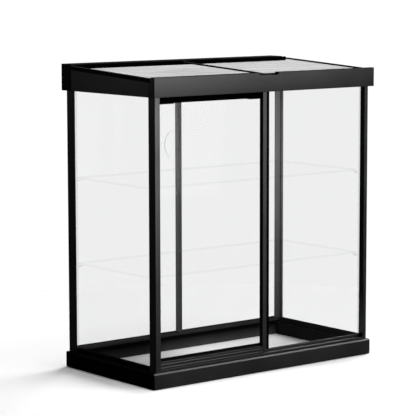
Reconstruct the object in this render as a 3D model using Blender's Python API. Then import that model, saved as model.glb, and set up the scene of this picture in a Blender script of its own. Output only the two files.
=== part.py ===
"""Countertop glass display showcase with a sliding framed front door, two glass lids on top,
two glass shelves and a sliding rear pane. Sizes in millimetres, turned into metres on creation."""

import bpy
import bmesh
from math import cos, pi, radians, sin
from mathutils import Vector

MM = 0.001

# Overall sizes
WIDTH = 560.0
DEPTH = 300.0
FASCIA_BOTTOM = 551.5
FRONT_TOP = 589.0
BACK_TOP = 603.5

# Running gap left between pieces that only touch
GAP = 0.3

# Base ring
BASE_HALF_X = 279.5
BASE_HALF_Y = 145.4
FOOT_HEIGHT = 1.5
BASE_TOP = 31.5
RAIL_WIDTH = 26.0
RAIL_WALL = 2.0
FLANGE_REACH = 8.0
CORNER_RADIUS = 3.0

# Post frame
POST_X = 271.0
POST_Y_FRONT = -141.0
POST_Y_BACK = 144.0
POST_BOTTOM = 34.1
POST_TOP = FASCIA_BOTTOM - GAP

# Front door on the outer track
DOOR_Y_FRONT = -138.5
DOOR_Y_BACK = -128.5
DOOR_LEFT = -268.4
DOOR_RIGHT = 4.2
DOOR_BOTTOM = 37.2
DOOR_TOP = 551.0
STILE_WIDTHS = {"left": 10.8, "right": 9.5}
BACK_LIP = 5.3
BOTTOM_RAIL_HEIGHT = 13.4
TOP_RAIL_HEIGHT = 11.6
ROLLER_RADIUS = 4.2
ROLLER_X = (-240.0, -22.0)

# Glass
GLASS = 4.0
SHELF_GLASS = 5.0
EDGE_CHANNEL_RIGHT = 19.4
SHELF_HEIGHTS = {"lower": 207.0, "upper": 377.0}
SHELF_HALF_X = 264.0
SHELF_FRONT = -117.0
SHELF_BACK = 121.2

# Top fascia
BOARD = 16.0
BACK_BOX_FRONT = 116.0
DIVIDER_HALF = 4.0
SLANT_START = 262.0
SLANT = 0.355
NOTCH_WIDTH = 48.0
NOTCH_DEPTH = 6.0
LID_GLASS = 5.0
LID_SLOPE = 0.0525
SEAM_AT_BACK = 592.3
TRIM_HEIGHT = 7.5
TRIM_WIDTH = 8.0
TRIM_DEPTH = 4.7
GLASS_LIFT = 1.2
HINGE_Y = 112.4
ROD_RADIUS = 1.1
HOOK_BORE = 1.35
HOOK_RADIUS = 2.0
HOOK_LEAF = 5.0
PIN_CLEARANCE = 0.06

for existing in list(bpy.data.objects):
    bpy.data.objects.remove(existing)


# ---------------------------------------------------------------- materials
def material(name, colour, roughness, metallic=0.0, alpha=1.0):
    made = bpy.data.materials.new(name)
    made.use_nodes = True
    shader = made.node_tree.nodes["Principled BSDF"]
    shader.inputs["Base Color"].default_value = (*colour, 1.0)
    shader.inputs["Roughness"].default_value = roughness
    shader.inputs["Metallic"].default_value = metallic
    shader.inputs["Alpha"].default_value = alpha
    return made


CHARCOAL = ((0.035, 0.036, 0.038), 0.45, 0.0)
BLACK = ((0.012, 0.012, 0.013), 0.5, 0.0)
ALUMINIUM = ((0.42, 0.42, 0.42), 0.38, 1.0)
WHITE = ((0.86, 0.86, 0.85), 0.5, 0.0)
CLEAR = ((0.80, 0.90, 0.87), 0.05, 0.0, 0.35)
RUBBER = ((0.02, 0.02, 0.02), 0.8, 0.0)
STEEL = ((0.6, 0.6, 0.6), 0.3, 1.0)


# ---------------------------------------------------------------- helpers
def finish(name, mesh_data, look):
    mesh = bpy.data.meshes.new(name)
    bmesh.ops.remove_doubles(mesh_data, verts=mesh_data.verts, dist=1e-7)
    bmesh.ops.recalc_face_normals(mesh_data, faces=mesh_data.faces)
    mesh_data.to_mesh(mesh)
    mesh_data.free()
    made = bpy.data.objects.new(name, mesh)
    bpy.context.scene.collection.objects.link(made)
    if look:
        made.data.materials.append(material(name, *look))
    return made


def loft_into(mesh_data, sections):
    """Joins closed outlines with the same number of corners into one solid, capped at both ends."""
    rings = []
    for section in sections:
        rings.append([mesh_data.verts.new(Vector(point) * MM) for point in section])
    for first, second in zip(rings, rings[1:]):
        count = len(first)
        for i in range(count):
            j = (i + 1) % count
            mesh_data.faces.new((first[i], first[j], second[j], second[i]))
    mesh_data.faces.new(list(reversed(rings[0])))
    mesh_data.faces.new(rings[-1])


def box_into(mesh_data, x, y, z):
    outline = ((x[0], y[0]), (x[1], y[0]), (x[1], y[1]), (x[0], y[1]))
    loft_into(mesh_data, [[(px, py, level) for px, py in outline] for level in z])


def along_x(outline, x_low, x_high):
    """Sections of a (y, z) outline; each end is a number or a function of y."""
    ends = []
    for end in (x_low, x_high):
        at = end if callable(end) else (lambda y, fixed=end: fixed)
        ends.append([(at(y), y, z) for y, z in outline])
    return ends


def along_y(outline, y_low, y_high):
    """Sections of an (x, z) outline; each end is a number or a function of x."""
    ends = []
    for end in (y_low, y_high):
        at = end if callable(end) else (lambda x, fixed=end: fixed)
        ends.append([(x, at(x), z) for x, z in outline])
    return ends


def along_z(outline, z_low, z_high):
    return [[(x, y, level) for x, y in outline] for level in (z_low, z_high)]


def solid(name, sections, look):
    mesh_data = bmesh.new()
    loft_into(mesh_data, sections)
    return finish(name, mesh_data, look)


def block(name, x, y, z, look, bevel=0.0, segments=1):
    mesh_data = bmesh.new()
    box_into(mesh_data, x, y, z)
    made = finish(name, mesh_data, look)
    if bevel:
        soften(made, bevel, segments)
    return made


def soften(made, width, segments=1):
    bevel = made.modifiers.new("soften", "BEVEL")
    bevel.width = width * MM
    bevel.segments = segments
    bevel.limit_method = "ANGLE"
    bevel.angle_limit = radians(40)
    bevel.use_clamp_overlap = True
    return bevel


def cutter(name, shapes):
    """One hidden helper holding several closed shapes, each a list of sections."""
    mesh_data = bmesh.new()
    for sections in shapes:
        loft_into(mesh_data, sections)
    made = finish(name, mesh_data, None)
    made.hide_render = True
    made.display_type = "WIRE"
    return made


def change(made, helper, operation="DIFFERENCE"):
    boolean = made.modifiers.new(operation.lower(), "BOOLEAN")
    boolean.operation = operation
    boolean.solver = "EXACT"
    boolean.object = helper
    return made


def box_sections(x, y, z):
    outline = ((x[0], y[0]), (x[1], y[0]), (x[1], y[1]), (x[0], y[1]))
    return along_z(outline, *z)


def circle(centre_a, centre_b, radius, count, start=0.0):
    step = 2 * pi / count
    return [
        (centre_a + radius * cos(start + step * i), centre_b + radius * sin(start + step * i))
        for i in range(count)
    ]


def corner_waste(sx, sy, half_x, half_y, radius, z, steps=6):
    """The sliver outside a rounded vertical corner."""
    out = 1.5
    points = [(half_x + out, half_y - radius), (half_x + out, half_y + out), (half_x - radius, half_y + out)]
    for i in range(steps + 1):
        angle = pi / 2 * (1 - i / steps)
        points.append(
            (half_x - radius + radius * cos(angle), half_y - radius + radius * sin(angle))
        )
    return along_z([(sx * px, sy * py) for px, py in points], *z)


SIGNS = ((-1, -1), (1, -1), (1, 1), (-1, 1))

# ---------------------------------------------------------------- base ring
base_corners = cutter(
    "cut_base_corners",
    [
        corner_waste(sx, sy, BASE_HALF_X, BASE_HALF_Y, CORNER_RADIUS, (-1.0, 33.0))
        for sx, sy in SIGNS
    ],
)
FLANGE_TOP = FOOT_HEIGHT + RAIL_WALL


def ring_outline(outer, inward):
    """Open-bottomed rail with a flange at its inner foot. `outer` is its outer face."""
    def at(distance):
        return outer + inward * distance
    chamfer = 2.4
    inside = RAIL_WIDTH - RAIL_WALL
    return [
        (at(0), FOOT_HEIGHT),
        (at(0), BASE_TOP - chamfer),
        (at(chamfer), BASE_TOP),
        (at(RAIL_WIDTH), BASE_TOP),
        (at(RAIL_WIDTH), FLANGE_TOP),
        (at(RAIL_WIDTH + FLANGE_REACH), FLANGE_TOP),
        (at(RAIL_WIDTH + FLANGE_REACH), FOOT_HEIGHT),
        (at(inside), FOOT_HEIGHT),
        (at(inside), BASE_TOP - RAIL_WALL),
        (at(RAIL_WALL + chamfer * 0.6), BASE_TOP - RAIL_WALL),
        (at(RAIL_WALL), BASE_TOP - RAIL_WALL - chamfer * 0.6),
        (at(RAIL_WALL), FOOT_HEIGHT),
    ]


MITRE_GAP = 0.2
for label, side in (("front", -1), ("back", 1)):
    rail = solid(
        "base_rail_" + label,
        along_x(
            ring_outline(side * BASE_HALF_Y, -side),
            lambda y, s=side: -(BASE_HALF_X - (BASE_HALF_Y - s * y)) + MITRE_GAP,
            lambda y, s=side: (BASE_HALF_X - (BASE_HALF_Y - s * y)) - MITRE_GAP,
        ),
        CHARCOAL,
    )
    change(rail, base_corners)
for label, side in (("left", -1), ("right", 1)):
    rail = solid(
        "base_rail_" + label,
        along_y(
            ring_outline(side * BASE_HALF_X, -side),
            lambda x, s=side: -(BASE_HALF_Y - (BASE_HALF_X - s * x)) + MITRE_GAP,
            lambda x, s=side: (BASE_HALF_Y - (BASE_HALF_X - s * x)) - MITRE_GAP,
        ),
        CHARCOAL,
    )
    change(rail, base_corners)

FLOOR_TOP = 6.0
block(
    "floor_panel",
    (-(BASE_HALF_X - RAIL_WIDTH - 0.4), BASE_HALF_X - RAIL_WIDTH - 0.4),
    (-(BASE_HALF_Y - RAIL_WIDTH - 0.4), BASE_HALF_Y - RAIL_WIDTH - 0.4),
    (FLANGE_TOP + GAP, FLOOR_TOP),
    WHITE,
)

FOOT_AT = (250.0, 116.0)
for label, (sx, sy) in zip(("front_left", "front_right", "back_right", "back_left"), SIGNS):
    solid(
        "foot_" + label,
        along_z(circle(sx * FOOT_AT[0], sy * FOOT_AT[1], 7.0, 20), 0.0, FOOT_HEIGHT - 0.1),
        RUBBER,
    )

# ---------------------------------------------------------------- sill tracks
SILL_FLOOR = 33.8
LIP_TOP = 36.4
lip_ends = cutter(
    "cut_lip_ends",
    [
        box_sections(x, y, (SILL_FLOOR, 40.0))
        for x, y in (
            ((-274.0, -262.3), (-142.5, -138.8)),
            ((262.3, 274.0), (-142.5, -138.8)),
            ((-274.0, -269.0), (-136.0, -131.0)),
            ((269.0, 274.0), (-136.0, -131.0)),
        )
    ],
)
front_track = solid(
    "front_bottom_track",
    along_x(
        [
            (-141.0, BASE_TOP + GAP),
            (-121.0, BASE_TOP + GAP),
            (-121.0, SILL_FLOOR),
            (-132.6, SILL_FLOOR),
            (-132.6, 35.4),
            (-133.2, 35.8),
            (-133.8, 35.8),
            (-134.4, 35.4),
            (-134.4, SILL_FLOOR),
            (-139.4, SILL_FLOOR),
            (-139.4, LIP_TOP),
            (-141.0, LIP_TOP),
        ],
        -POST_X,
        POST_X,
    ),
    CHARCOAL,
)
change(front_track, lip_ends)


def channel_outline(a_low, a_high, groove_low, groove_high, z_low, z_groove, z_high):
    return [
        (a_low, z_low),
        (a_high, z_low),
        (a_high, z_high),
        (groove_high, z_high),
        (groove_high, z_groove),
        (groove_low, z_groove),
        (groove_low, z_high),
        (a_low, z_high),
    ]


PANE_Y = (-126.5, -122.5)
SILL_TOP = 40.3
solid(
    "front_glazing_channel",
    along_x(
        channel_outline(-128.0, -121.0, PANE_Y[0] - GAP, PANE_Y[1] + GAP, SILL_FLOOR + GAP, 35.2, SILL_TOP),
        -268.9,
        268.9,
    ),
    CHARCOAL,
)

# Rear track: two grooves, the inner one for the fixed pane, the outer one for the sliding pane
REAR_FIXED_Y = (127.0, 131.0)
REAR_SLIDE_Y = (134.4, 138.4)
rear_track_outline = [
    (121.0, BASE_TOP + GAP),
    (141.9, BASE_TOP + GAP),
    (141.9, SILL_TOP),
    (REAR_SLIDE_Y[1] + 0.5, SILL_TOP),
    (REAR_SLIDE_Y[1] + 0.5, 34.2),
    (REAR_SLIDE_Y[0] - 0.5, 34.2),
    (REAR_SLIDE_Y[0] - 0.5, SILL_TOP),
    (REAR_FIXED_Y[1] + GAP, SILL_TOP),
    (REAR_FIXED_Y[1] + GAP, 34.2),
    (REAR_FIXED_Y[0] - GAP, 34.2),
    (REAR_FIXED_Y[0] - GAP, SILL_TOP),
    (121.0, SILL_TOP),
]
solid("rear_bottom_track", along_x(rear_track_outline, -268.9, 268.9), CHARCOAL)

SIDE_GLASS = (265.0, 269.0)
for label, side in (("left", -1), ("right", 1)):
    solid(
        "side_sill_" + label,
        along_y(
            [
                (side * a, z)
                for a, z in channel_outline(
                    263.2, POST_X, SIDE_GLASS[0] - GAP, SIDE_GLASS[1] + GAP, BASE_TOP + GAP, 35.2, SILL_TOP
                )
            ],
            -120.6,
            118.6,
        ),
        CHARCOAL,
    )

# ---------------------------------------------------------------- corner posts
FLANGE_THICK = 1.8
REAR_WEB_X = 253.3
for label, side in (("left", -1), ("right", 1)):
    solid(
        "post_front_" + label,
        along_z(
            [
                (side * x, y)
                for x, y in (
                    (POST_X, POST_Y_FRONT),
                    (POST_X, -121.0),
                    (POST_X - 1.7, -121.0),
                    (POST_X - 1.7, POST_Y_FRONT + FLANGE_THICK),
                    (262.6, POST_Y_FRONT + FLANGE_THICK),
                    (262.6, POST_Y_FRONT),
                )
            ],
            POST_BOTTOM,
            POST_TOP,
        ),
        CHARCOAL,
    )
    back_outline = [
        (POST_X, 119.0),
        (POST_X, POST_Y_BACK),
        (262.6 if side < 0 else 268.2, POST_Y_BACK),
        (262.6 if side < 0 else 268.2, POST_Y_BACK - FLANGE_THICK),
        (POST_X - 1.7, POST_Y_BACK - FLANGE_THICK),
        (POST_X - 1.7, 119.0),
    ]
    if side > 0:
        # The fixed rear pane rests against a web that stops above the track
        back_outline[5:5] = [
            (POST_X - 1.7, REAR_FIXED_Y[0] - GAP),
            (REAR_WEB_X, REAR_FIXED_Y[0] - GAP),
            (REAR_WEB_X, REAR_FIXED_Y[0] - 2.0),
            (POST_X - 1.7, REAR_FIXED_Y[0] - 2.0),
        ]
    post = solid(
        "post_back_" + label,
        along_z([(side * x, y) for x, y in back_outline], BASE_TOP + GAP, POST_TOP),
        CHARCOAL,
    )
    if side > 0:
        web_end = box_sections(
            (REAR_WEB_X - 2.0, POST_X - 1.7), (123.0, 128.0), (BASE_TOP - 2.0, SILL_TOP + GAP)
        )
        change(post, cutter("cut_web_end", [web_end]))

# ---------------------------------------------------------------- rear mullion
mullion_outline = [
    (-11.0, 121.7),
    (-2.7, 121.7),
    (-2.7, 126.4),
    (-4.4, 126.4),
    (-4.4, 123.4),
    (-9.2, 123.4),
    (-9.2, 132.5),
    (-11.0, 132.5),
]
solid("rear_mullion", along_z(mullion_outline, SILL_TOP + GAP, POST_TOP), ALUMINIUM)

# ---------------------------------------------------------------- fixed and rear glass
TOP_TRACK_BOTTOM = FASCIA_BOTTOM + GAP
PANE_BOTTOM = 35.5
PANE_TOP = 560.0
block("front_glass_fixed", (6.9, 265.4), PANE_Y, (PANE_BOTTOM, PANE_TOP), CLEAR)
solid(
    "fixed_pane_edge_channel",
    along_z(
        [
            (5.3, -127.9),
            (EDGE_CHANNEL_RIGHT, -127.9),
            (EDGE_CHANNEL_RIGHT, PANE_Y[0] - GAP),
            (6.6, PANE_Y[0] - GAP),
            (6.6, PANE_Y[1] + GAP),
            (EDGE_CHANNEL_RIGHT, PANE_Y[1] + GAP),
            (EDGE_CHANNEL_RIGHT, -121.2),
            (5.3, -121.2),
        ],
        SILL_TOP + GAP,
        POST_TOP,
    ),
    BLACK,
)
for label, side in (("left", -1), ("right", 1)):
    block(
        "side_glass_" + label,
        tuple(sorted((side * SIDE_GLASS[0], side * SIDE_GLASS[1]))),
        (-120.3, 118.3),
        (PANE_BOTTOM, FASCIA_BOTTOM - 0.4),
        CLEAR,
    )
block("rear_glass_fixed", (-8.9, 268.4), REAR_FIXED_Y, (34.5, 560.0), CLEAR)

SLIDE_PANE_RIGHT = -5.0
rear_slider = block(
    "rear_glass_sliding",
    (-268.4, SLIDE_PANE_RIGHT),
    REAR_SLIDE_Y,
    (34.5, 559.0),
    CLEAR,
)

# A shallow ground finger pull, open at the pane's inner edge
PULL_Z = (402.0, 458.0)
PULL_REACH = 22.0
PULL_CENTRE = -12.0
PULL_DEPTH = 1.4
pull_middle = (PULL_Z[0] + PULL_Z[1]) / 2
pull_half = (PULL_Z[1] - PULL_Z[0]) / 2
finger = [(SLIDE_PANE_RIGHT + 3.0, PULL_Z[0]), (SLIDE_PANE_RIGHT + 3.0, PULL_Z[1])]
for i in range(17):
    angle = pi / 2 + pi * i / 16
    finger.append((PULL_CENTRE + PULL_REACH * cos(angle), pull_middle + pull_half * sin(angle)))
change(
    rear_slider,
    cutter("cut_finger_pull", [along_y(finger, REAR_SLIDE_Y[1] - PULL_DEPTH, REAR_SLIDE_Y[1] + 3)]),
)

# ---------------------------------------------------------------- shelves and their clips
for level, height in SHELF_HEIGHTS.items():
    block(
        "shelf_" + level,
        (-SHELF_HALF_X, SHELF_HALF_X),
        (SHELF_FRONT, SHELF_BACK),
        (height, height + SHELF_GLASS),
        CLEAR,
    )

CLIP_Y = {"front": (-119.6, -113.6), "back": (112.6, 117.6)}
for level, height in SHELF_HEIGHTS.items():
    for label, side in (("left", -1), ("right", 1)):
        for end, (y_low, y_high) in CLIP_Y.items():
            outline = [
                (side * (SIDE_GLASS[0] - GAP), height - 4.6),
                (side * (SIDE_GLASS[0] - GAP), height - GAP),
                (side * 258.6, height - GAP),
                (side * 258.6, height - 1.8),
                (side * 262.4, height - 4.6),
            ]
            solid(
                "shelf_clip_%s_%s_%s" % (level, end, label),
                along_y(outline, y_low, y_high),
                STEEL,
            )

# ---------------------------------------------------------------- top fascia
HALF_W = WIDTH / 2
HALF_D = DEPTH / 2
fascia_corners = cutter(
    "cut_fascia_corners",
    [corner_waste(sx, sy, HALF_W, HALF_D, 2.0, (540.0, 612.0), 4) for sx, sy in SIGNS],
)
FRONT_BOARD_BACK = -HALF_D + BOARD
LEDGE_FRONT = -HALF_D + 11.0


def seam(y):
    """Height of the sloping joint that the lids rest on."""
    return SEAM_AT_BACK + LID_SLOPE * (y - BACK_BOX_FRONT)


front_board = solid(
    "fascia_front",
    along_x(
        [
            (-HALF_D, FASCIA_BOTTOM),
            (FRONT_BOARD_BACK, FASCIA_BOTTOM),
            (FRONT_BOARD_BACK, seam(FRONT_BOARD_BACK)),
            (LEDGE_FRONT, seam(LEDGE_FRONT)),
            (LEDGE_FRONT, FRONT_TOP),
            (-HALF_D, FRONT_TOP),
        ],
        -HALF_W,
        HALF_W,
    ),
    CHARCOAL,
)
change(front_board, fascia_corners)
notch = []
for sx in (1, -1):
    for i in range(7):
        angle = (pi / 2) * i / 6 if sx > 0 else (pi / 2) * (1 - i / 6)
        notch.append(
            (
                sx * (NOTCH_WIDTH / 2 - 3.0 + 3.0 * cos(angle)),
                FRONT_TOP - NOTCH_DEPTH + 3.0 - 3.0 * sin(angle),
            )
        )
notch = [(NOTCH_WIDTH / 2, FRONT_TOP + 3.0)] + notch + [(-NOTCH_WIDTH / 2, FRONT_TOP + 3.0)]
change(front_board, cutter("cut_pull_notch", [along_y(notch, -HALF_D - 3, FRONT_BOARD_BACK + 3)]))

back_box = solid(
    "fascia_back_box",
    along_x(
        [
            (BACK_BOX_FRONT, FASCIA_BOTTOM),
            (HALF_D, FASCIA_BOTTOM),
            (HALF_D, BACK_TOP),
            (BACK_BOX_FRONT, BACK_TOP),
        ],
        -HALF_W,
        HALF_W,
    ),
    CHARCOAL,
)
change(back_box, fascia_corners)
slanted_end = [
    (SLANT_START, BACK_TOP),
    (SLANT_START, BACK_TOP + 3.0),
    (HALF_W + 3.0, BACK_TOP + 3.0),
    (HALF_W + 3.0, BACK_TOP - SLANT * (HALF_W + 3.0 - SLANT_START)),
]
change(
    back_box,
    cutter("cut_slanted_end", [along_y(slanted_end, BACK_BOX_FRONT - 3.0, HALF_D + 3.0)]),
)
rear_grooves = cutter(
    "cut_rear_grooves",
    [
        box_sections((-268.9, 268.9), (low - spare, high + spare), (FASCIA_BOTTOM - 5.0, 563.0))
        for (low, high), spare in ((REAR_FIXED_Y, GAP), (REAR_SLIDE_Y, 0.5))
    ],
)
change(back_box, rear_grooves)

SIDE_BOARD = 14.0
for label, side in (("left", -1), ("right", 1)):
    outline = [
        (FRONT_BOARD_BACK + GAP, FASCIA_BOTTOM),
        (BACK_BOX_FRONT - GAP, FASCIA_BOTTOM),
        (BACK_BOX_FRONT - GAP, seam(BACK_BOX_FRONT - GAP)),
        (FRONT_BOARD_BACK + GAP, seam(FRONT_BOARD_BACK + GAP)),
    ]
    ends = sorted((side * HALF_W, side * (HALF_W - SIDE_BOARD)))
    solid("fascia_" + label, along_x(outline, *ends), CHARCOAL)

DIVIDER_STEP = -HALF_D + 30.0
DIVIDER_BACK = BACK_BOX_FRONT - GAP
solid(
    "top_divider",
    along_x(
        [
            (FRONT_BOARD_BACK + GAP, seam(FRONT_BOARD_BACK) - 14.0),
            (DIVIDER_BACK, seam(DIVIDER_BACK) - 14.0),
            (DIVIDER_BACK, seam(DIVIDER_BACK) + TRIM_HEIGHT),
            (DIVIDER_STEP, seam(DIVIDER_STEP) + TRIM_HEIGHT),
            (DIVIDER_STEP, seam(DIVIDER_STEP) + TRIM_HEIGHT - 0.8),
            (FRONT_BOARD_BACK + GAP, seam(FRONT_BOARD_BACK) + TRIM_HEIGHT - 0.8),
        ],
        -DIVIDER_HALF,
        DIVIDER_HALF,
    ),
    CHARCOAL,
)

TRACK_HALF_X = HALF_W - SIDE_BOARD - GAP
TONGUE_GROOVE = (-132.8, -129.2)
solid(
    "front_top_track",
    along_x(
        [
            (FRONT_BOARD_BACK + GAP, TOP_TRACK_BOTTOM),
            (TONGUE_GROOVE[0], TOP_TRACK_BOTTOM),
            (TONGUE_GROOVE[0], 562.0),
            (TONGUE_GROOVE[1], 562.0),
            (TONGUE_GROOVE[1], TOP_TRACK_BOTTOM),
            (PANE_Y[0] - GAP, TOP_TRACK_BOTTOM),
            (PANE_Y[0] - GAP, 562.0),
            (PANE_Y[1] + GAP, 562.0),
            (PANE_Y[1] + GAP, TOP_TRACK_BOTTOM),
            (-121.0, TOP_TRACK_BOTTOM),
            (-121.0, 564.0),
            (FRONT_BOARD_BACK + GAP, 564.0),
        ],
        -TRACK_HALF_X,
        TRACK_HALF_X,
    ),
    CHARCOAL,
)

# ---------------------------------------------------------------- lids
LID_BACK = 114.5
LID_FRONT = LEDGE_FRONT + GAP
HINGE_Z = seam(HINGE_Y) + GLASS_LIFT + LID_GLASS + GAP + HOOK_RADIUS


def sloping_sections(outline, lift_low, lift_high):
    """A plan outline given a lower and an upper face, both parallel to the lid seam."""
    return [[(x, y, seam(y) + lift) for x, y in outline] for lift in (lift_low, lift_high)]


for label, side in (("left", -1), ("right", 1)):
    inner = side * (DIVIDER_HALF + 0.5)
    trim_in = side * (HALF_W - 0.2 - TRIM_WIDTH)
    trim_out = side * (HALF_W - 0.2)
    solid(
        "lid_frame_" + label,
        sloping_sections(
            [
                (trim_out, LID_FRONT),
                (side * 0.3, LID_FRONT),
                (side * 0.3, LID_FRONT + TRIM_DEPTH),
                (trim_in, LID_FRONT + TRIM_DEPTH),
                (trim_in, LID_BACK),
                (trim_out, LID_BACK),
            ],
            GAP,
            TRIM_HEIGHT,
        ),
        CHARCOAL,
    )
    glass_front = LID_FRONT + TRIM_DEPTH + GAP
    solid(
        "lid_glass_" + label,
        sloping_sections(
            [
                (trim_in - side * GAP, glass_front),
                (inner, glass_front),
                (inner, LID_BACK),
                (trim_in - side * GAP, LID_BACK),
            ],
            GLASS_LIFT,
            GLASS_LIFT + LID_GLASS,
        ),
        CLEAR,
    )

    # Fixed half: a wall strip with an ear and a rod across to the far ear
    ends = sorted((side * (DIVIDER_HALF + 1.0), side * (HALF_W - TRIM_WIDTH - 1.0)))
    strip = block(
        "lid_hinge_rod_" + label,
        tuple(ends),
        (BACK_BOX_FRONT - GAP - 0.7, BACK_BOX_FRONT - GAP),
        (HINGE_Z - 5.0, HINGE_Z + 1.4),
        STEEL,
    )
    EAR = 3.0
    ear_outline = circle(HINGE_Y, HINGE_Z, 1.8, 16)
    reach = [
        (HINGE_Y, HINGE_Z - 1.2),
        (BACK_BOX_FRONT - GAP - 0.3, HINGE_Z - 1.2),
        (BACK_BOX_FRONT - GAP - 0.3, HINGE_Z + 1.1),
        (HINGE_Y, HINGE_Z + 1.1),
    ]
    shapes = [
        (
            "ear",
            [along_x(ear_outline, ends[0], ends[0] + EAR), along_x(ear_outline, ends[1] - EAR, ends[1])],
        ),
        (
            "web",
            [
                along_x(reach, ends[0] + 0.1, ends[0] + EAR - 0.1),
                along_x(reach, ends[1] - EAR + 0.1, ends[1] - 0.1),
            ],
        ),
        (
            "rod",
            [along_x(circle(HINGE_Y, HINGE_Z, ROD_RADIUS, 12, 0.1), ends[0] + 0.5, ends[1] - 0.5)],
        ),
    ]
    for part_name, sections in shapes:
        change(strip, cutter("add_%s_%s" % (part_name, label), sections), "UNION")

    # Moving half: a leaf on the glass that hooks round the rod
    hook = [(HINGE_Y - HOOK_LEAF, HINGE_Z - HOOK_RADIUS - HOOK_LEAF * LID_SLOPE)]
    count = 18
    opening = radians(60)
    for i in range(count + 1):
        angle = -pi / 2 + (2 * pi - opening) * i / count
        hook.append((HINGE_Y + HOOK_RADIUS * cos(angle), HINGE_Z + HOOK_RADIUS * sin(angle)))
    for i in range(count, -1, -1):
        angle = -pi / 2 + (2 * pi - opening) * i / count
        hook.append((HINGE_Y + HOOK_BORE * cos(angle), HINGE_Z + HOOK_BORE * sin(angle)))
    hook.append((HINGE_Y - HOOK_LEAF, HINGE_Z - HOOK_BORE - HOOK_LEAF * LID_SLOPE))
    solid(
        "lid_hinge_hook_" + label,
        along_x(hook, ends[0] + EAR + 0.4, ends[1] - EAR - 0.4),
        BLACK,
    )

# ---------------------------------------------------------------- front door
RAIL_LEFT = DOOR_LEFT + STILE_WIDTHS["left"] + GAP
RAIL_RIGHT = DOOR_RIGHT - STILE_WIDTHS["right"] - GAP
DOOR_MIDDLE_Y = (DOOR_Y_FRONT + DOOR_Y_BACK) / 2
DOOR_GLASS_Y = (DOOR_MIDDLE_Y - GLASS / 2, DOOR_MIDDLE_Y + GLASS / 2)
SLOT_Y = (DOOR_GLASS_Y[0] - GAP, DOOR_GLASS_Y[1] + GAP)
SLOT_DEPTH = 4.0
for label, low, facing in (("left", DOOR_LEFT, 1), ("right", RAIL_RIGHT + GAP, -1)):
    high = low + STILE_WIDTHS[label]
    outer, inner = (low, high) if facing > 0 else (high, low)
    solid(
        "door_stile_" + label,
        along_z(
            [
                (outer, DOOR_Y_FRONT),
                (inner, DOOR_Y_FRONT),
                (inner, SLOT_Y[0]),
                (inner - facing * SLOT_DEPTH, SLOT_Y[0]),
                (inner - facing * SLOT_DEPTH, SLOT_Y[1]),
                (inner, SLOT_Y[1]),
                (inner, DOOR_Y_BACK),
                (outer, DOOR_Y_BACK),
            ],
            DOOR_BOTTOM,
            DOOR_TOP,
        ),
        CHARCOAL,
    )

WEB_BOTTOM = 46.0
WEB_TOP = 47.0
RAIL_TOP = DOOR_BOTTOM + BOTTOM_RAIL_HEIGHT
CAVITY_Y = (DOOR_Y_FRONT + 1.6, DOOR_Y_BACK - 1.6)
solid(
    "door_bottom_rail",
    along_x(
        [
            (DOOR_Y_FRONT, DOOR_BOTTOM),
            (CAVITY_Y[0], DOOR_BOTTOM),
            (CAVITY_Y[0], WEB_BOTTOM),
            (CAVITY_Y[1], WEB_BOTTOM),
            (CAVITY_Y[1], DOOR_BOTTOM),
            (DOOR_Y_BACK, DOOR_BOTTOM),
            (DOOR_Y_BACK, RAIL_TOP + BACK_LIP),
            (SLOT_Y[1], RAIL_TOP + BACK_LIP),
            (SLOT_Y[1], WEB_TOP),
            (SLOT_Y[0], WEB_TOP),
            (SLOT_Y[0], RAIL_TOP),
            (DOOR_Y_FRONT + 0.5, RAIL_TOP),
            (DOOR_Y_FRONT + 0.5, 46.1),
            (DOOR_Y_FRONT, 45.6),
            (DOOR_Y_FRONT, 44.6),
            (DOOR_Y_FRONT + 0.5, 44.1),
            (DOOR_Y_FRONT + 0.5, 39.9),
            (DOOR_Y_FRONT, 39.4),
        ],
        RAIL_LEFT,
        RAIL_RIGHT,
    ),
    CHARCOAL,
)

BLOCK_LENGTH = 33.0
TOP_RAIL_BOTTOM = DOOR_TOP - TOP_RAIL_HEIGHT


def top_outline(bottom, tongue_top=None):
    roof = [(DOOR_Y_BACK, DOOR_TOP), (DOOR_Y_FRONT, DOOR_TOP)]
    if tongue_top:
        roof = [
            (DOOR_Y_BACK, DOOR_TOP),
            (TONGUE_GROOVE[1] - 0.6, DOOR_TOP),
            (TONGUE_GROOVE[1] - 0.6, tongue_top),
            (TONGUE_GROOVE[0] + 0.6, tongue_top),
            (TONGUE_GROOVE[0] + 0.6, DOOR_TOP),
            (DOOR_Y_FRONT, DOOR_TOP),
        ]
    return [
        (DOOR_Y_FRONT, bottom),
        (SLOT_Y[0], bottom),
        (SLOT_Y[0], TOP_RAIL_BOTTOM + SLOT_DEPTH),
        (SLOT_Y[1], TOP_RAIL_BOTTOM + SLOT_DEPTH),
        (SLOT_Y[1], bottom),
        (DOOR_Y_BACK, bottom),
    ] + roof


solid(
    "door_top_rail",
    along_x(
        top_outline(TOP_RAIL_BOTTOM),
        RAIL_LEFT + BLOCK_LENGTH + GAP,
        RAIL_RIGHT - BLOCK_LENGTH - GAP,
    ),
    BLACK,
)
for label, low in (("left", RAIL_LEFT), ("right", RAIL_RIGHT - BLOCK_LENGTH)):
    solid(
        "door_top_guide_" + label,
        along_x(top_outline(TOP_RAIL_BOTTOM - 1.5, 559.0), low, low + BLOCK_LENGTH),
        BLACK,
    )

block(
    "door_glass",
    (RAIL_LEFT - GAP - SLOT_DEPTH + 0.4, RAIL_RIGHT + GAP + SLOT_DEPTH - 0.4),
    DOOR_GLASS_Y,
    (WEB_TOP + 0.4, TOP_RAIL_BOTTOM + SLOT_DEPTH - 0.4),
    CLEAR,
)

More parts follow.
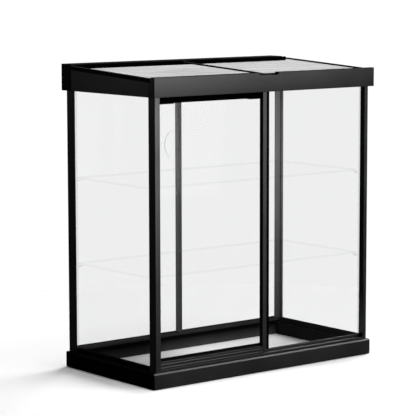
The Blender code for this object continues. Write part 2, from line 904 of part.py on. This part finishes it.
ROLLER_Z = 35.8 + GAP + ROLLER_RADIUS
AXLE_RADIUS = 1.2
CARRIER_Y = (CAVITY_Y[0] + GAP, CAVITY_Y[1] - GAP)
for label, x in zip(("left", "right"), ROLLER_X):
    roller = bmesh.new()
    levels = (
        (DOOR_MIDDLE_Y - 2.8, AXLE_RADIUS),
        (DOOR_MIDDLE_Y - 1.5, AXLE_RADIUS),
        (DOOR_MIDDLE_Y - 1.5, ROLLER_RADIUS),
        (DOOR_MIDDLE_Y + 1.5, ROLLER_RADIUS),
        (DOOR_MIDDLE_Y + 1.5, AXLE_RADIUS),
        (DOOR_MIDDLE_Y + 2.8, AXLE_RADIUS),
    )
    loft_into(
        roller,
        [[(px, y, pz) for px, pz in circle(x, ROLLER_Z, radius, 24)] for y, radius in levels],
    )
    finish("door_roller_" + label, roller, BLACK)
    carrier = block(
        "roller_carrier_" + label,
        (x - 11.0, x + 11.0),
        CARRIER_Y,
        (38.2, WEB_BOTTOM - GAP),
        BLACK,
    )
    change(
        carrier,
        cutter(
            "cut_roller_slot_" + label,
            [box_sections((x - 5.2, x + 5.2), (DOOR_MIDDLE_Y - 1.9, DOOR_MIDDLE_Y + 1.9), (30.0, 50.0))],
        ),
    )
    change(
        carrier,
        cutter(
            "cut_axle_bore_" + label,
            [
                [
                    [(px, y, pz) for px, pz in circle(x, ROLLER_Z, AXLE_RADIUS + PIN_CLEARANCE, 24)]
                    for y in (DOOR_Y_FRONT, DOOR_Y_BACK)
                ]
            ],
        ),
    )
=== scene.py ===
from math import radians

import bmesh
import bpy
from mathutils import Euler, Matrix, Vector


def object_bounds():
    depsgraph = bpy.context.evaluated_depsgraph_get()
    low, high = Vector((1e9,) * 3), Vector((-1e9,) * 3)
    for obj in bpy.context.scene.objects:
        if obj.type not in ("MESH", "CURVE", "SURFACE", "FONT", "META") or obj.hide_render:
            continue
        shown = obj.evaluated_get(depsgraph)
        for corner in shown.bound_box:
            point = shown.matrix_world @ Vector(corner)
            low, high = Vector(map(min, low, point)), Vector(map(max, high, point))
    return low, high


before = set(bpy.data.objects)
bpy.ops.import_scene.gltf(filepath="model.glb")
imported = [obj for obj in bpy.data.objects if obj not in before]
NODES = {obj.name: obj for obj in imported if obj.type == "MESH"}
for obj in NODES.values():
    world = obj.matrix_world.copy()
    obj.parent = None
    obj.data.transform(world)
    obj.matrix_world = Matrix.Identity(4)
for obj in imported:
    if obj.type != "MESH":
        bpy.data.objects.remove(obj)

cad_low, cad_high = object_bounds()
scene = bpy.context.scene


# ---------------------------------------------------------------- camera
CAMERA_AT = Vector((-2.4336, -2.9820, 0.7929))
CAMERA_AIM = Vector((-0.0315, 0.0, 0.3131))
LENS_MM = 167.15
CAMERA_ROLL = -0.1

camera_data = bpy.data.cameras.new("camera")
camera_data.lens = LENS_MM
camera_data.sensor_width = 36.0
camera_data.clip_end = 50.0
camera = bpy.data.objects.new("camera", camera_data)
camera.location = CAMERA_AT
camera.rotation_mode = "QUATERNION"
level = (CAMERA_AIM - CAMERA_AT).to_track_quat("-Z", "Y")
camera.rotation_quaternion = level @ Euler((0.0, 0.0, radians(CAMERA_ROLL))).to_quaternion()
scene.collection.objects.link(camera)
scene.camera = camera


# ---------------------------------------------------------------- paint, glass and board
# Sizes of a pattern are noise scales per metre; reliefs, edges and heights are in metres
CLOUD_SCALE = 9.0
GRAIN_SCALE = 900.0
GRAIN_RELIEF = 0.00006
GRAIN_STRENGTH = 0.35
ROUNDED_EDGE = 0.0012
DULLER = 0.05
GLOSSIER = 0.04
NEAR_BLACK = (0.0058, 0.0058, 0.0059)
GLASS_IOR = 1.5
SMUDGE_SCALE = 6.0
# Stretch of the painted bands of stronger and weaker reflection on the lids
MIRROR_BAND_STRETCH = (5.0, 60.0, 5.0)
# White floor board, with painted shade: grey towards its left end and its front
BOARD_SHADE_GREY = (0.12, 0.12, 0.12)
BOARD_WHITE = (0.90, 0.90, 0.90)
BOARD_LEFT_SHADE = (-0.24, 0.02, 0.12, 1.0)
BOARD_FRONT_SHADE = (0.035, 0.10, 0.58, 1.0)


# ---------------------------------------------------------------- node helpers
class Recipe:
    """A material being built: a short way to add nodes and join them."""

    def __init__(self, name):
        self.material = bpy.data.materials.new(name)
        self.material.use_nodes = True
        self.tree = self.material.node_tree
        self.shader = self.tree.nodes["Principled BSDF"]
        self.output = self.tree.nodes["Material Output"]
        self.coordinates = self.tree.nodes.new("ShaderNodeTexCoord")

    def node(self, kind, settings=None, **inputs):
        made = self.tree.nodes.new("ShaderNode" + kind)
        for key, value in (settings or {}).items():
            setattr(made, key, value)
        for key, value in inputs.items():
            socket = made.inputs[key.replace("_", " ")]
            if isinstance(value, bpy.types.NodeSocket):
                self.tree.links.new(value, socket)
            else:
                socket.default_value = value
        return made

    def set(self, **inputs):
        for key, value in inputs.items():
            socket = self.shader.inputs[key.replace("_", " ")]
            if isinstance(value, bpy.types.NodeSocket):
                self.tree.links.new(value, socket)
            else:
                socket.default_value = value
        return self

    def place(self, scale=(1, 1, 1)):
        mapping = self.node("Mapping", Vector=self.coordinates.outputs["Object"])
        mapping.inputs["Scale"].default_value = scale
        return mapping.outputs["Vector"]

    def noise(self, scale, detail=4.0, stretch=(1, 1, 1), roughness=0.5):
        made = self.node(
            "TexNoise", Vector=self.place(stretch), Scale=scale, Detail=detail, Roughness=roughness
        )
        return made.outputs["Fac"]

    def ramp(self, value, low, high, out_low, out_high):
        made = self.node("MapRange", Value=value)
        made.inputs["From Min"].default_value = low
        made.inputs["From Max"].default_value = high
        made.inputs["To Min"].default_value = out_low
        made.inputs["To Max"].default_value = out_high
        return made.outputs["Result"]

    def blend(self, share, first, second):
        made = self.node("Mix", {"data_type": "RGBA"})
        self.tree.links.new(share, made.inputs["Factor"])
        made.inputs[6].default_value = (*first, 1.0)
        made.inputs[7].default_value = (*second, 1.0)
        return made.outputs[2]

    def bump(self, height, strength, distance, rounding=None):
        made = self.node("Bump", Height=height)
        made.inputs["Strength"].default_value = strength
        made.inputs["Distance"].default_value = distance
        if rounding:
            self.tree.links.new(rounding.outputs["Normal"], made.inputs["Normal"])
        self.tree.links.new(made.outputs["Normal"], self.shader.inputs["Normal"])
        return self


def powder_coat(name, dark, light, roughness, specular=0.5):
    """Painted metal: fine orange-peel grain, faint mottling and slightly uneven sheen."""
    made = Recipe(name)
    cloud = made.noise(CLOUD_SCALE, 3.0)
    fine = made.noise(GRAIN_SCALE, 2.0)
    rounding = made.node("Bevel", Radius=ROUNDED_EDGE)
    made.set(Base_Color=made.blend(made.ramp(cloud, 0.35, 0.65, 0.0, 1.0), dark, light))
    made.set(Roughness=made.ramp(cloud, 0.3, 0.7, roughness - GLOSSIER, roughness + DULLER))
    made.set(Metallic=0.0)
    made.shader.inputs["Specular IOR Level"].default_value = specular
    made.bump(fine, GRAIN_STRENGTH, GRAIN_RELIEF, rounding)
    return made.material


def painted_light_and_shade_coat(name, roughness, shades, specular=0.0, full=0.1):
    """Paint with painted light and shade along its piece. A shade is (axis, start, end, first, last);
    shades multiply.

    With `specular` at 0 the colour changes, up to `full`, as painted light and shade. Otherwise the gloss
    changes, as painted sheen."""
    made = Recipe(name)
    across = made.node("SeparateXYZ", Vector=made.coordinates.outputs["Object"])
    level = made.ramp(made.noise(CLOUD_SCALE, 3.0), 0.35, 0.65, 0.9, 1.1)
    for axis, start, end, first, last in shades:
        step = made.node("Math", {"operation": "MULTIPLY"})
        made.tree.links.new(level, step.inputs[0])
        made.tree.links.new(made.ramp(across.outputs[axis], start, end, first, last), step.inputs[1])
        level = step.outputs[0]
    if specular:
        made.set(Base_Color=(*NEAR_BLACK, 1.0))
        shine = made.node("Math", {"operation": "MULTIPLY"})
        made.tree.links.new(level, shine.inputs[0])
        shine.inputs[1].default_value = specular
        made.tree.links.new(shine.outputs[0], made.shader.inputs["Specular IOR Level"])
    else:
        made.set(Base_Color=made.blend(level, (0.0, 0.0, 0.0), (full, full, 1.01 * full)))
        made.shader.inputs["Specular IOR Level"].default_value = 0.0
    cloud = made.noise(CLOUD_SCALE, 3.0)
    made.set(Roughness=made.ramp(cloud, 0.3, 0.7, roughness - GLOSSIER, roughness + DULLER))
    fine = made.noise(GRAIN_SCALE, 2.0)
    made.bump(fine, GRAIN_STRENGTH, GRAIN_RELIEF, made.node("Bevel", Radius=ROUNDED_EDGE))
    return made.material


def pane_glass(name, through, edge, mirror=1.2, smear=0.02, up_axis=None, mirror_banding=0.0):
    """Clear float glass: see-through faces with a faint mirror, and slightly darker cut edges.

    `up_axis` is the axis across the pane's thickness, so the other faces are its cut edges.
    It's a world axis: a pane that has turned, such as an open lid, shows its edges' colour."""
    made = Recipe(name)
    geometry = made.node("NewGeometry")
    split = made.node("SeparateXYZ", Vector=geometry.outputs["Normal"])
    flat = made.node("Math", {"operation": "ABSOLUTE"})
    made.tree.links.new(split.outputs[up_axis], flat.inputs[0])
    face_share = made.ramp(flat.outputs[0], 0.5, 0.9, 0.0, 1.0)
    clear = made.node("BsdfTransparent")
    path = made.node("LightPath")
    seen = made.blend(face_share, edge, through)
    no_shade = made.node("Mix", {"data_type": "RGBA"})
    made.tree.links.new(path.outputs["Is Shadow Ray"], no_shade.inputs["Factor"])
    made.tree.links.new(seen, no_shade.inputs[6])
    no_shade.inputs[7].default_value = (1.0, 1.0, 1.0, 1.0)
    made.tree.links.new(no_shade.outputs[2], clear.inputs["Color"])
    shine = made.node("BsdfGlossy")
    shine.inputs["Color"].default_value = (1.0, 1.0, 1.0, 1.0)
    if smear:
        smudge = made.noise(SMUDGE_SCALE, 2.0)
        made.tree.links.new(made.ramp(smudge, 0.35, 0.8, 0.01, smear), shine.inputs["Roughness"])
    else:
        shine.inputs["Roughness"].default_value = 0.0
    fresnel = made.node("Fresnel", IOR=GLASS_IOR)
    outside = made.ramp(geometry.outputs["Backfacing"], 0.0, 1.0, mirror, 0.0)
    # Painted reflection: bands where the pane mirrors more strongly and more weakly
    if mirror_banding:
        mirror_band_noise = made.noise(1.0, 3.0, MIRROR_BAND_STRETCH, 0.55)
        banded = made.node("Math", {"operation": "MULTIPLY"})
        made.tree.links.new(outside, banded.inputs[0])
        made.tree.links.new(made.ramp(mirror_band_noise, 0.35, 0.65, 1.0 - mirror_banding, 1.0 + mirror_banding), banded.inputs[1])
        outside = banded.outputs[0]
    share = made.node("Math", {"operation": "MULTIPLY"})
    made.tree.links.new(fresnel.outputs[0], share.inputs[0])
    made.tree.links.new(outside, share.inputs[1])
    lit_share = made.node("Math", {"operation": "MULTIPLY"})
    made.tree.links.new(share.outputs[0], lit_share.inputs[0])
    made.tree.links.new(made.ramp(path.outputs["Is Shadow Ray"], 0.0, 1.0, 1.0, 0.0), lit_share.inputs[1])
    mix = made.node("MixShader")
    made.tree.links.new(lit_share.outputs[0], mix.inputs[0])
    made.tree.links.new(clear.outputs[0], mix.inputs[1])
    made.tree.links.new(shine.outputs[0], mix.inputs[2])
    made.tree.links.new(mix.outputs[0], made.output.inputs["Surface"])
    made.tree.nodes.remove(made.shader)
    return made.material


def board_with_painted_shade():
    """White board with painted shade: greyer towards its left end and its front."""
    made = Recipe("white_board")
    across = made.node("SeparateXYZ", Vector=made.coordinates.outputs["Object"])
    left = made.ramp(across.outputs["X"], *BOARD_LEFT_SHADE)
    front = made.ramp(across.outputs["Y"], *BOARD_FRONT_SHADE)
    white = made.node("Math", {"operation": "MULTIPLY"})
    made.tree.links.new(left, white.inputs[0])
    made.tree.links.new(front, white.inputs[1])
    made.set(Base_Color=made.blend(white.outputs[0], BOARD_SHADE_GREY, BOARD_WHITE))
    made.set(Roughness=made.ramp(made.noise(40.0), 0.3, 0.7, 0.4, 0.5))
    made.bump(made.noise(1200.0, 2.0), 0.2, 0.00004)
    return made.material


def wear(node_names, material):
    """Give these CAD nodes this material."""
    for node in node_names:
        slots = NODES[node].data.materials
        if not slots:
            slots.append(material)
        for i in range(len(slots)):
            slots[i] = material


def starting_with(*beginnings):
    return [name for name in NODES if name.startswith(beginnings)]


CHARCOAL = powder_coat("charcoal_coat", (0.0050, 0.0050, 0.0051), (0.0065, 0.0065, 0.0066), 0.33)
SATIN = powder_coat("satin_black", (0.0050, 0.0050, 0.0051), (0.0065, 0.0065, 0.0066), 0.42, specular=0.0)
# A darker copy of the paint: the rollers, hinge hooks and fixed-pane parts are black parts, and on the
# door's top rail and the top front track it is painted shade under the fascia
BLACK_AND_SHADE = powder_coat("black_and_shade_coat", (0.001, 0.001, 0.001), (0.0016, 0.0016, 0.0016), 0.45, specular=0.0)
# Painted light: a lighter copy of the paint, without gloss, for the lid frames, the back fascia and the
# top divider
TOP_PIECES_LIT_COAT = powder_coat("top_pieces_lit_coat", (0.021, 0.021, 0.0212), (0.025, 0.025, 0.0252), 0.42, specular=0.0)
# Painted sheen on the front fascia: gloss weaker towards its bottom and its left end, and no gloss on its
# top face
FASCIA_COAT = painted_light_and_shade_coat(
    "fascia_coat",
    0.33,
    (
        ("Z", 0.553, 0.582, 0.55, 1.0),
        ("Z", 0.5884, 0.5889, 1.0, 0.0),
        ("X", 0.0, 0.28, 0.66, 1.0),
    ),
    specular=0.5,
)
# Painted light on the back base rail: lighter towards its foot, as if lit by the white floor, and painted
# shade darker towards its left end
BACK_RAIL_COAT = painted_light_and_shade_coat(
    "back_rail_coat", 0.5, (("Z", 0.006, 0.029, 1.0, 0.06), ("X", -0.10, -0.04, 0.22, 0.5))
)
# Painted light on the right back post and the rear mullion: a lighter grey than the other paint, lightest
# at the top and darker towards the foot
BACK_POST_COAT = painted_light_and_shade_coat("back_post_coat", 0.5, (("Z", 0.05, 0.50, 0.22, 1.0),), full=0.24)
MULLION_COAT = painted_light_and_shade_coat("mullion_coat", 0.5, (("Z", 0.05, 0.50, 0.30, 1.0),), full=0.13)
# Painted shade on the rear sill: near-black below 35 mm, and painted light in a lighter grey above
BACK_SILL_COAT = painted_light_and_shade_coat("back_sill_coat", 0.42, (("Z", 0.0345, 0.0355, 0.04, 0.23),))
# Painted shade on the door's bottom rail: no gloss above the rail's top, so its back lip stays black as
# in shade
DOOR_RAIL_COAT = painted_light_and_shade_coat("door_rail_coat", 0.33, (("Z", 0.0506, 0.0510, 1.0, 0.0),), specular=0.5)
RUBBER = powder_coat("pad_rubber", (0.01, 0.01, 0.01), (0.016, 0.016, 0.016), 0.8)
# The floor board: white, with painted shade towards its left end and its front
WHITE_BOARD_SHADED = board_with_painted_shade()
PANE = (0.955, 0.956, 0.956)
PANE_EDGE = (0.80, 0.82, 0.81)
SHELF_EDGE = (0.95, 0.955, 0.952)
SIDE_PANE = pane_glass("side_pane", PANE, PANE_EDGE, mirror=0.06, up_axis="X")
WIDE_PANE = pane_glass("wide_pane", PANE, PANE_EDGE, mirror=0.06, up_axis="Y")
PULL_PANE = pane_glass("pull_pane", PANE, (0.42, 0.43, 0.425), mirror=0.06, up_axis="Y")
SHELF_GLASS = pane_glass("shelf_glass", (0.998, 0.998, 0.998), SHELF_EDGE, mirror=0.02, up_axis="Z")
LID_GLASS = pane_glass(
    "lid_glass", (0.93, 0.93, 0.93), PANE_EDGE, mirror=1.02, smear=0.0, up_axis="Z", mirror_banding=0.16
)
CLIP = pane_glass("clear_clip", (0.97, 0.97, 0.97), (0.93, 0.93, 0.93), mirror=0.5, up_axis="Z")

# A later line overrides an earlier one
# Black parts, and the door's top rail and the top front track in painted shade
BLACK_AND_SHADED_PARTS = ("door_top", "door_roller", "roller_", "fixed_pane", "lid_hinge_hook", "front_top_track")
SATIN_PARTS = ("lid_hinge_rod", "base_rail_left", "base_rail_right", "side_sill")
wear(NODES, CHARCOAL)
wear(starting_with(*BLACK_AND_SHADED_PARTS), BLACK_AND_SHADE)
wear(starting_with("foot_"), RUBBER)
wear(starting_with("shelf_clip"), CLIP)
wear(starting_with(*SATIN_PARTS), SATIN)
wear(["floor_panel"], WHITE_BOARD_SHADED)
wear(["door_glass", "front_glass_fixed", "rear_glass_fixed"], WIDE_PANE)
wear(["side_glass_left", "side_glass_right"], SIDE_PANE)
wear(["rear_glass_sliding"], PULL_PANE)
wear(["shelf_lower", "shelf_upper"], SHELF_GLASS)
wear(["lid_glass_left", "lid_glass_right"], LID_GLASS)
wear(["rear_mullion"], MULLION_COAT)
wear(["post_back_right"], BACK_POST_COAT)
wear(starting_with("lid_frame", "fascia_back", "top_divider"), TOP_PIECES_LIT_COAT)
wear(["rear_bottom_track"], BACK_SILL_COAT)
wear(["fascia_front"], FASCIA_COAT)
wear(["base_rail_back"], BACK_RAIL_COAT)
wear(["door_bottom_rail"], DOOR_RAIL_COAT)


# ---------------------------------------------------------------- floor and light
FLOOR_RADIUS = 0.95
CLEAR_LAYERS = 32
ROOM_SEEN = 1.03
ROOM_LIGHT = 0.04


def floor():
    """A pale matt disk under the case, left out of its reflections."""
    made = Recipe("studio_floor")
    faint = made.noise(3.0, 2.0)
    made.set(Base_Color=made.blend(faint, (0.880, 0.880, 0.880), (0.885, 0.885, 0.885)))
    made.set(Roughness=0.85)
    mesh = bmesh.new()
    bmesh.ops.create_circle(mesh, cap_ends=True, segments=96, radius=FLOOR_RADIUS)
    data = bpy.data.meshes.new("studio_floor")
    mesh.to_mesh(data)
    mesh.free()
    data.materials.append(made.material)
    made_floor = bpy.data.objects.new("studio_floor", data)
    made_floor.location = (0.0, 0.0, cad_low.z)
    scene.collection.objects.link(made_floor)
    made_floor.visible_diffuse = False
    made_floor.visible_glossy = False
    return made_floor


studio_floor = floor()

scene.view_settings.view_transform = "Standard"
# Enough clear layers for four panes in a row, which otherwise turn black
scene.cycles.transparent_max_bounces = CLEAR_LAYERS


def studio_world(seen, lit):
    """A white room to look at or see in a lid, and a dimmer one to light dark paint."""
    world = bpy.data.worlds.new("studio")
    world.use_nodes = True
    tree = world.node_tree
    background = tree.nodes["Background"]
    path = tree.nodes.new("ShaderNodeLightPath")
    strength = tree.nodes.new("ShaderNodeMapRange")
    strength.inputs["To Min"].default_value = lit
    strength.inputs["To Max"].default_value = seen
    sharp = tree.nodes.new("ShaderNodeMath")
    sharp.operation = "MAXIMUM"
    tree.links.new(path.outputs["Is Camera Ray"], sharp.inputs[0])
    tree.links.new(path.outputs["Is Singular Ray"], sharp.inputs[1])
    tree.links.new(sharp.outputs[0], strength.inputs["Value"])
    tree.links.new(strength.outputs["Result"], background.inputs["Strength"])
    background.inputs["Color"].default_value = (1.0, 1.0, 1.0, 1.0)
    scene.world = world


studio_world(ROOM_SEEN, ROOM_LIGHT)


def softbox(name, location, aim, size, power):
    """A rectangular soft lamp at `location` that shines at `aim`."""
    light = bpy.data.lights.new(name, "AREA")
    light.shape = "RECTANGLE"
    light.size, light.size_y = size
    light.energy = power
    made = bpy.data.objects.new(name, light)
    made.location = location
    made.rotation_mode = "QUATERNION"
    made.rotation_quaternion = (Vector(aim) - Vector(location)).to_track_quat("-Z", "Y")
    scene.collection.objects.link(made)
    return made


def sun(name, towards, angle, strength):
    """A distant soft light shining along `towards`."""
    light = bpy.data.lights.new(name, "SUN")
    light.energy = strength
    light.angle = radians(angle)
    made = bpy.data.objects.new(name, light)
    made.rotation_mode = "QUATERNION"
    made.rotation_quaternion = Vector(towards).to_track_quat("-Z", "Y")
    scene.collection.objects.link(made)
    return made


def spare(light, pieces):
    """Keep a light off these objects, such as off the floor where it would bleach the shadow."""
    spared = bpy.data.collections.new(light.name + "_spares")
    for piece in pieces:
        spared.objects.link(piece)
    for linked in spared.collection_objects:
        linked.light_linking.link_state = "EXCLUDE"
    light.light_linking.receiver_collection = spared


def light_only(light, pieces):
    """Let a light reach these objects and nothing else."""
    light.visible_camera = False
    lit = bpy.data.collections.new(light.name + "_lights")
    for piece in pieces:
        lit.objects.link(piece)
    light.light_linking.receiver_collection = lit


LIDS = [NODES["lid_glass_left"], NODES["lid_glass_right"]]
FAR_UPRIGHTS = [NODES["post_back_right"], NODES["rear_mullion"]]
FAR_SILLS = [NODES["base_rail_right"], NODES["side_sill_right"]]

sun("overhead_sun", (-0.1, 0.28, -1.0), 26.0, 1.2)
spare(sun("right_sun", (-1.0, -0.28, -0.52), 44.0, 4.6), FAR_UPRIGHTS)
back_card = softbox("back_card", (2.4, 2.9, 1.3), (0.0, 0.0, 0.3), (2.6, 2.2), 12.5)
spare(back_card, LIDS)
front_card = softbox("front_card", (0.85, -2.0, 0.85), (0.0, -0.1, 0.35), (1.0, 1.6), 32.0)
spare(front_card, [studio_floor] + LIDS)
edge_card = softbox("edge_card", (1.4, -0.3, 1.8), (0.0, -0.1, 0.05), (0.8, 0.8), 12.0)
spare(edge_card, [studio_floor] + LIDS)
floor_lamp = softbox("floor_lamp", (-0.20, -0.50, 0.25), (-0.24, -0.22, 0.0), (0.5, 0.2), 1.6)
light_only(floor_lamp, [studio_floor])
corner_lamp = softbox("corner_lamp", (-0.34, -0.15, 0.10), (-0.34, -0.15, 0.0), (0.12, 0.08), 0.03)
light_only(corner_lamp, [studio_floor])
post_lamp = softbox("post_lamp", (-1.5, 0.3, 0.75), (0.265, 0.13, 0.40), (0.6, 0.6), 34.0)
light_only(post_lamp, FAR_UPRIGHTS + FAR_SILLS)
left_card = softbox("left_card", (-1.0, 0.70, 0.70), (-0.28, -0.10, 0.55), (0.4, 0.4), 0.18)
spare(left_card, [studio_floor] + LIDS)
